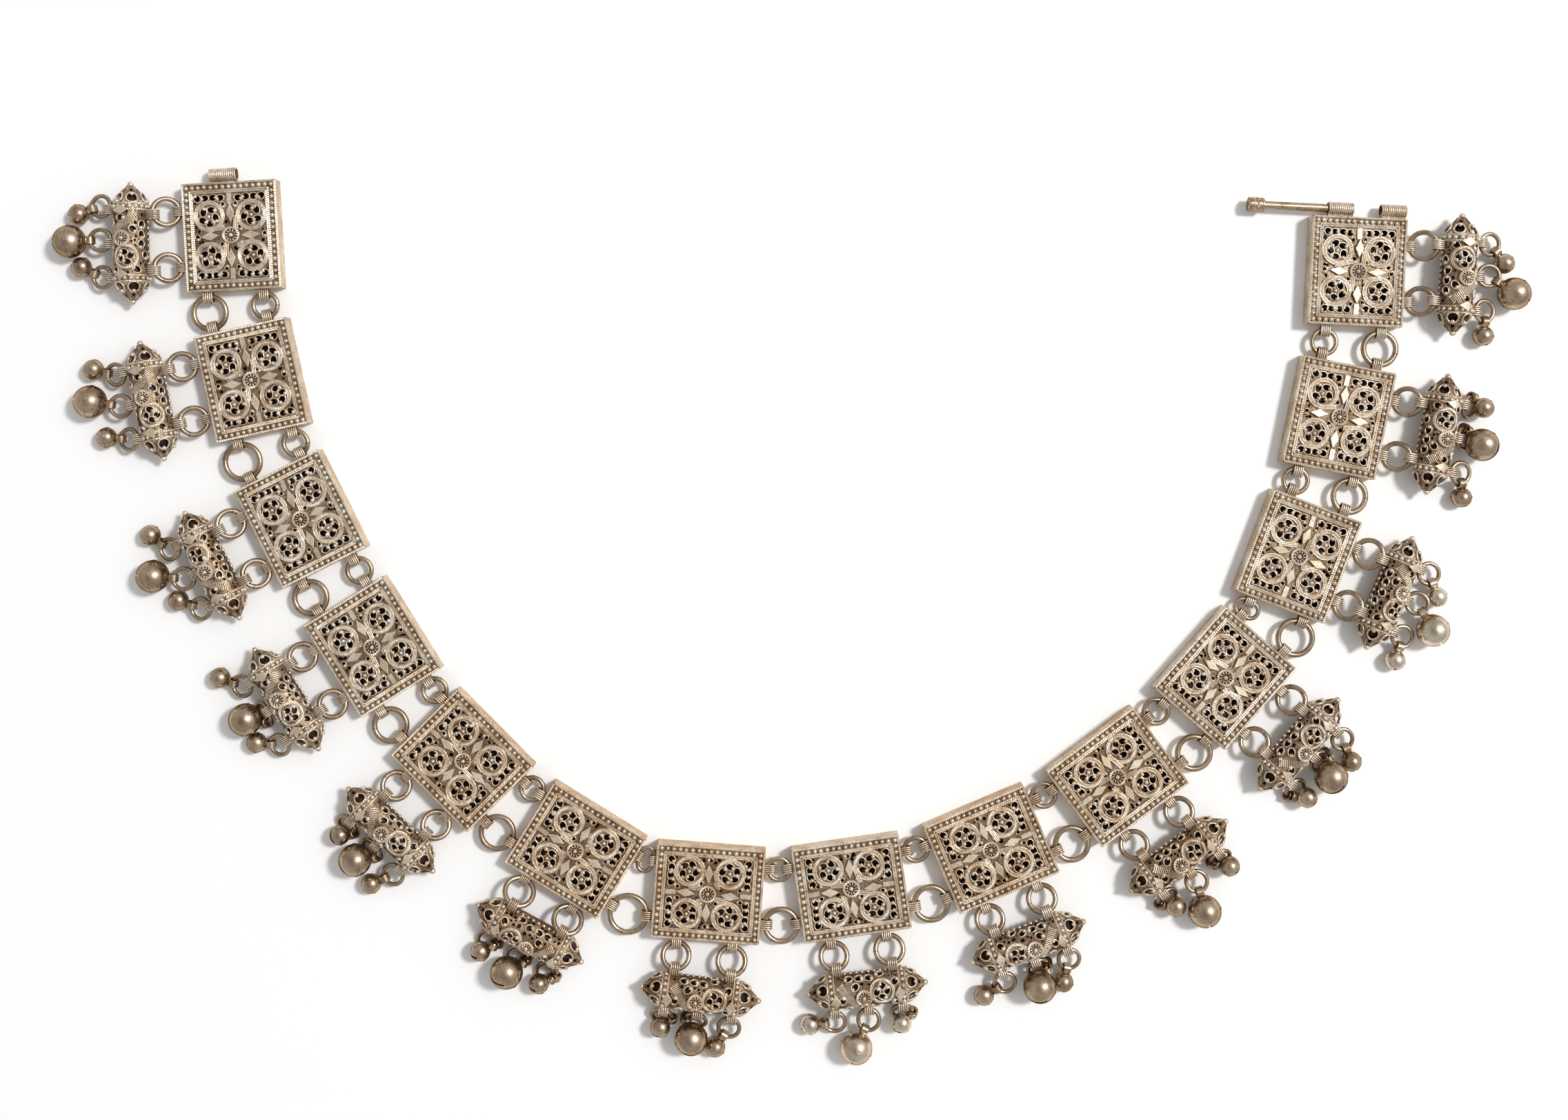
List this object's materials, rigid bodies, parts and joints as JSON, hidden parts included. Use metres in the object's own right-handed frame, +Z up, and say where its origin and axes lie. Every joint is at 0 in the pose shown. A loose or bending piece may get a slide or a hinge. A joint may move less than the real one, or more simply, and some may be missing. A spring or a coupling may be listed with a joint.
{
  "type": "lying yemeni silver necklace",
  "caption": "Silver necklace lying open: pierced square plaques joined by rings, each with a tubular amulet case on two rings and round bells below, and a tube-and-pin clasp.",
  "frame": {"origin": "middle of the whole necklace's footprint, on the surface it lies on", "axes": "+X from the free end with one clasp tube towards the free end with the clasp's pin, +Y towards the open side between the two ends, +Z up from the surface"},
  "size_m": [0.3537, 0.215, 0.0091],
  "materials": {
    "plaque_silver": "old silver, dark in the recesses and rubbed bright on raised wires and grains",
    "case_silver": "old silver, dark in the recesses and rubbed bright on raised work",
    "ring_silver": "worn round silver wire, satin",
    "bell_silver": "smooth worn silver, soft shine with small scratches"
  },
  "bodies": {
    "necklace": {"plaque_01": "plaque_silver", "plaque_02": "plaque_silver", "plaque_03": "plaque_silver", "plaque_04": "plaque_silver", "plaque_05": "plaque_silver", "plaque_06": "plaque_silver", "plaque_07": "plaque_silver", "plaque_08": "plaque_silver", "plaque_09": "plaque_silver", "plaque_10": "plaque_silver", "plaque_11": "plaque_silver", "plaque_12": "plaque_silver", "plaque_13": "plaque_silver", "plaque_14": "plaque_silver", "case_01": "case_silver", "case_02": "case_silver", "case_03": "case_silver", "case_04": "case_silver", "case_05": "case_silver", "case_06": "case_silver", "case_07": "case_silver", "case_08": "case_silver", "case_09": "case_silver", "case_10": "case_silver", "case_11": "case_silver", "case_12": "case_silver", "case_13": "case_silver", "case_14": "case_silver", "drop_rings_01": "ring_silver", "drop_rings_02": "ring_silver", "drop_rings_03": "ring_silver", "drop_rings_04": "ring_silver", "drop_rings_05": "ring_silver", "drop_rings_06": "ring_silver", "drop_rings_07": "ring_silver", "drop_rings_08": "ring_silver", "drop_rings_09": "ring_silver", "drop_rings_10": "ring_silver", "drop_rings_11": "ring_silver", "drop_rings_12": "ring_silver", "drop_rings_13": "ring_silver", "drop_rings_14": "ring_silver", "bells_01": "bell_silver", "bells_02": "bell_silver", "bells_03": "bell_silver", "bells_04": "bell_silver", "bells_05": "bell_silver", "bells_06": "bell_silver", "bells_07": "bell_silver", "bells_08": "bell_silver", "bells_09": "bell_silver", "bells_10": "bell_silver", "bells_11": "bell_silver", "bells_12": "bell_silver", "bells_13": "bell_silver", "bells_14": "bell_silver", "outer_rings": "ring_silver", "inner_rings": "ring_silver"},
    "clasp_pin": {"clasp_pin": "ring_silver"}
  },
  "joints": [
    {"name": "pin_slide", "type": "slide", "parent": "necklace", "child": "clasp_pin", "axis": [0.9988, -0.0489, 0], "range_m": [-0.0025, 0.0153]}
  ]
}
